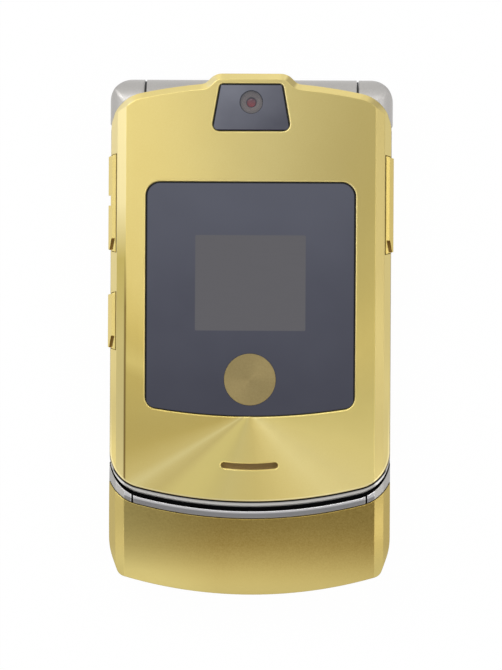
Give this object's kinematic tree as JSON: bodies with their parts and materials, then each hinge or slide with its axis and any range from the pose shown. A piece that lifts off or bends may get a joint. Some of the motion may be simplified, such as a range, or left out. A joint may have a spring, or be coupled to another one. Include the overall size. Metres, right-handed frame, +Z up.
{
  "type": "flip phone",
  "caption": "Slim metal flip phone, closed: spun gold lid with a smoked window and camera, rounded chin, side keys, keypad and displays inside.",
  "frame": {"origin": "middle of the phone's outline, on the surface that the closed phone lies on", "axes": "+X to the right seen from the front, +Y towards the hinge end, +Z up through the lid"},
  "size_m": [0.0536, 0.098, 0.0139],
  "materials": {
    "gold": "spun and anodised gold",
    "gold_back": "gold paint",
    "silver": "satin silver",
    "chin_trim": "satin silver",
    "smoked_glass": "smoked, polished",
    "disc": "satin gold",
    "black_plastic": "moulded",
    "lens": "polished",
    "mesh": "woven",
    "screen": "liquid crystal",
    "board": "lacquered",
    "steel": "plated",
    "brass": "bare copper alloy",
    "rubber": "moulded",
    "battery": "wrapped",
    "keys": "etched nickel"
  },
  "bodies": {
    "base": {"base_frame": "silver", "rear_housing": "gold_back", "chin_cover": "gold", "chin_trim": "chin_trim", "dome_sheet": "board", "main_board": "board", "shield_can": "steel", "battery": "battery", "battery_contacts": "black_plastic", "sim_holder": "steel", "usb_socket": "steel", "microphone": "black_plastic", "antenna": "brass", "base_screws": "steel", "hinge_cam": "steel", "hinge_sleeve": "steel"},
    "flip": {"flip_cover": "gold", "cover_glass": "smoked_glass", "emblem_disc": "disc", "camera_window": "smoked_glass", "camera_module": "black_plastic", "camera_lens": "lens", "speaker_mesh": "mesh", "loudspeaker": "black_plastic", "outer_display": "screen", "flip_board": "board", "main_display": "screen", "flip_inner_housing": "silver", "inner_lens": "smoked_glass", "vibration_motor": "steel", "flip_screws": "steel", "bumper_pads": "rubber", "hinge_cartridge": "steel"},
    "smart_key": {"smart_key": "gold"},
    "voice_key": {"voice_key": "gold"},
    "volume_rocker": {"volume_rocker": "gold"},
    "key_soft_left": {"key_soft_left": "keys"},
    "key_soft_right": {"key_soft_right": "keys"},
    "key_menu": {"key_menu": "keys"},
    "key_browser": {"key_browser": "keys"},
    "key_message": {"key_message": "keys"},
    "key_send": {"key_send": "keys"},
    "key_clear": {"key_clear": "keys"},
    "key_end": {"key_end": "keys"},
    "key_0": {"key_0": "keys"},
    "key_1": {"key_1": "keys"},
    "key_2": {"key_2": "keys"},
    "key_3": {"key_3": "keys"},
    "key_4": {"key_4": "keys"},
    "key_5": {"key_5": "keys"},
    "key_6": {"key_6": "keys"},
    "key_7": {"key_7": "keys"},
    "key_8": {"key_8": "keys"},
    "key_9": {"key_9": "keys"},
    "key_star": {"key_star": "keys"},
    "key_hash": {"key_hash": "keys"},
    "key_select": {"key_select": "keys"},
    "key_ring": {"key_ring": "keys"},
    "battery_door": {"battery_door": "gold"},
    "door_latch": {"door_latch": "gold_back"}
  },
  "joints": [
    {"name": "flip_hinge", "type": "hinge", "parent": "base", "child": "flip", "pos_m": [0, 0.0429, 0.007], "axis": [-1, 0, 0], "range_deg": [0, 155]},
    {"name": "smart_key_press", "type": "slide", "parent": "flip", "child": "smart_key", "axis": [1, 0, 0], "range_m": [0, 0.0003], "stiffness_N_per_m": 2000},
    {"name": "voice_key_press", "type": "slide", "parent": "flip", "child": "voice_key", "axis": [-1, 0, 0], "range_m": [0, 0.0003], "stiffness_N_per_m": 2000},
    {"name": "volume_rocker_tilt", "type": "hinge", "parent": "flip", "child": "volume_rocker", "pos_m": [-0.0242, 0.0251, 0.01015], "axis": [0, 0, 1], "range_deg": [-1.5, 1.5], "stiffness_Nm_per_rad": 0.2},
    {"name": "key_soft_left_press", "type": "slide", "parent": "base", "child": "key_soft_left", "axis": [0, 0, -1], "range_m": [0, 0.00025], "stiffness_N_per_m": 2000},
    {"name": "key_soft_right_press", "type": "slide", "parent": "base", "child": "key_soft_right", "axis": [0, 0, -1], "range_m": [0, 0.00025], "stiffness_N_per_m": 2000},
    {"name": "key_menu_press", "type": "slide", "parent": "base", "child": "key_menu", "axis": [0, 0, -1], "range_m": [0, 0.00025], "stiffness_N_per_m": 2000},
    {"name": "key_browser_press", "type": "slide", "parent": "base", "child": "key_browser", "axis": [0, 0, -1], "range_m": [0, 0.00025], "stiffness_N_per_m": 2000},
    {"name": "key_message_press", "type": "slide", "parent": "base", "child": "key_message", "axis": [0, 0, -1], "range_m": [0, 0.00025], "stiffness_N_per_m": 2000},
    {"name": "key_send_press", "type": "slide", "parent": "base", "child": "key_send", "axis": [0, 0, -1], "range_m": [0, 0.00025], "stiffness_N_per_m": 2000},
    {"name": "key_clear_press", "type": "slide", "parent": "base", "child": "key_clear", "axis": [0, 0, -1], "range_m": [0, 0.00025], "stiffness_N_per_m": 2000},
    {"name": "key_end_press", "type": "slide", "parent": "base", "child": "key_end", "axis": [0, 0, -1], "range_m": [0, 0.00025], "stiffness_N_per_m": 2000},
    {"name": "key_0_press", "type": "slide", "parent": "base", "child": "key_0", "axis": [0, 0, -1], "range_m": [0, 0.00025], "stiffness_N_per_m": 2000},
    {"name": "key_1_press", "type": "slide", "parent": "base", "child": "key_1", "axis": [0, 0, -1], "range_m": [0, 0.00025], "stiffness_N_per_m": 2000},
    {"name": "key_2_press", "type": "slide", "parent": "base", "child": "key_2", "axis": [0, 0, -1], "range_m": [0, 0.00025], "stiffness_N_per_m": 2000},
    {"name": "key_3_press", "type": "slide", "parent": "base", "child": "key_3", "axis": [0, 0, -1], "range_m": [0, 0.00025], "stiffness_N_per_m": 2000},
    {"name": "key_4_press", "type": "slide", "parent": "base", "child": "key_4", "axis": [0, 0, -1], "range_m": [0, 0.00025], "stiffness_N_per_m": 2000},
    {"name": "key_5_press", "type": "slide", "parent": "base", "child": "key_5", "axis": [0, 0, -1], "range_m": [0, 0.00025], "stiffness_N_per_m": 2000},
    {"name": "key_6_press", "type": "slide", "parent": "base", "child": "key_6", "axis": [0, 0, -1], "range_m": [0, 0.00025], "stiffness_N_per_m": 2000},
    {"name": "key_7_press", "type": "slide", "parent": "base", "child": "key_7", "axis": [0, 0, -1], "range_m": [0, 0.00025], "stiffness_N_per_m": 2000},
    {"name": "key_8_press", "type": "slide", "parent": "base", "child": "key_8", "axis": [0, 0, -1], "range_m": [0, 0.00025], "stiffness_N_per_m": 2000},
    {"name": "key_9_press", "type": "slide", "parent": "base", "child": "key_9", "axis": [0, 0, -1], "range_m": [0, 0.00025], "stiffness_N_per_m": 2000},
    {"name": "key_star_press", "type": "slide", "parent": "base", "child": "key_star", "axis": [0, 0, -1], "range_m": [0, 0.00025], "stiffness_N_per_m": 2000},
    {"name": "key_hash_press", "type": "slide", "parent": "base", "child": "key_hash", "axis": [0, 0, -1], "range_m": [0, 0.00025], "stiffness_N_per_m": 2000},
    {"name": "key_select_press", "type": "slide", "parent": "base", "child": "key_select", "axis": [0, 0, -1], "range_m": [0, 0.00025], "stiffness_N_per_m": 2000},
    {"name": "key_ring_tilt", "type": "hinge", "parent": "base", "child": "key_ring", "pos_m": [0, 0.0169, 0.0063], "axis": [1, 0, 0], "range_deg": [-1.6, 1.6], "stiffness_Nm_per_rad": 0.2},
    {"name": "battery_door_off", "type": "slide", "parent": "base", "child": "battery_door", "axis": [0, 0, -1], "range_m": [0, 0.012]},
    {"name": "door_latch_press", "type": "slide", "parent": "battery_door", "child": "door_latch", "axis": [0, 0, 1], "range_m": [0, 0.0006], "stiffness_N_per_m": 1000}
  ]
}
